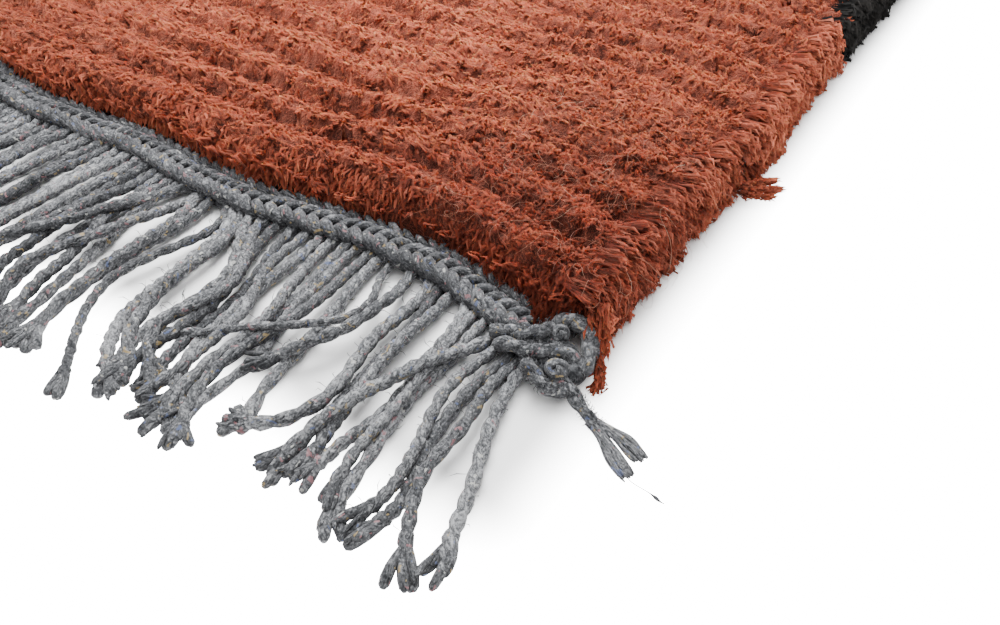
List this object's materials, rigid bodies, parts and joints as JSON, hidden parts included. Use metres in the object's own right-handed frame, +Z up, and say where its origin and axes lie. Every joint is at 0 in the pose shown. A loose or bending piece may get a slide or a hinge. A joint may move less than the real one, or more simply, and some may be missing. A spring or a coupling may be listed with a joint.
{
  "type": "hand-knotted shag rug",
  "caption": "Small rectangular hand-knotted shag rug, lying flat, with twined ends, loose corded fringes and tied corners, used as a floor covering.",
  "frame": {"origin": "middle of the rug's outline, on the plane of its flat underside, which lies on the floor", "axes": "+Z up from the floor, +Y along the rug's length from one fringe to the other, +X along its rows of knots"},
  "size_m": [0.6804, 1.1406, 0.0263],
  "materials": {
    "rust_wool": "shaggy knotted wool pile, rust red, dull",
    "grey_weave": "flat woven grey wool, dull",
    "grey_yarn": "soft twisted grey wool yarn with coloured flecks, dull"
  },
  "bodies": {
    "root": {"ground_weave": "grey_weave", "pile": "rust_wool", "braid_near": "grey_yarn", "braid_far": "grey_yarn", "fringe_near": "grey_yarn", "fringe_far": "grey_yarn", "corner_knot_near": "grey_yarn", "corner_knot_far": "grey_yarn"}
  },
  "joints": []
}
